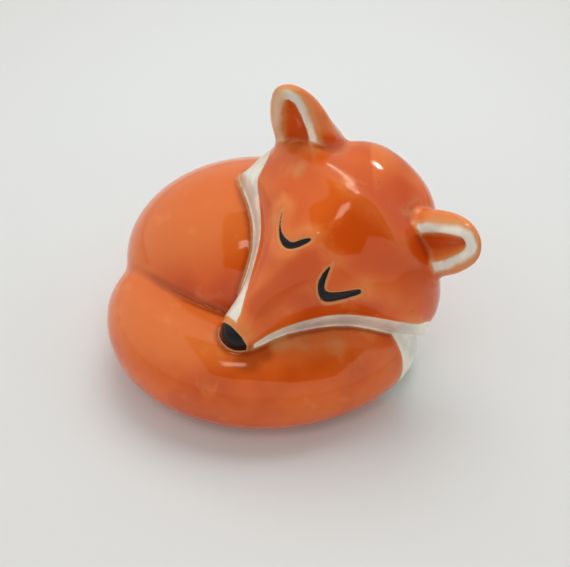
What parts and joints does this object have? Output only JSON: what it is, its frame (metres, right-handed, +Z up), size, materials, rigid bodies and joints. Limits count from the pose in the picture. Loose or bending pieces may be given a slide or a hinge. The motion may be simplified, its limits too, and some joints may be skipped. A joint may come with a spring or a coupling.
{
  "type": "fox figurine",
  "caption": "Small glazed clay fox asleep in a curl: thick tail coil round the front, head laid over it, pricked ears, flat foot.",
  "frame": {"origin": "on the flat foot, at the middle of the coil that the tail makes", "axes": "+Z up from the foot, -Y to the front where the muzzle and the tail's coil are, +X to the side where the tail's white end lies"},
  "size_m": [0.069, 0.0604, 0.0579],
  "materials": {
    "orange_glaze": "orange underglaze under clear gloss glaze",
    "white_glaze": "white clay slip under clear gloss glaze",
    "black_glaze": "black underglaze under clear gloss glaze"
  },
  "bodies": {
    "root": {"body": "orange_glaze", "tail": "orange_glaze", "tail_tip": "white_glaze", "head": "orange_glaze", "jaw": "white_glaze", "nose": "black_glaze", "left_ear": "orange_glaze", "right_ear": "orange_glaze", "left_eye": "black_glaze", "right_eye": "black_glaze", "left_ear_rim": "white_glaze", "right_ear_rim": "white_glaze"}
  },
  "joints": []
}
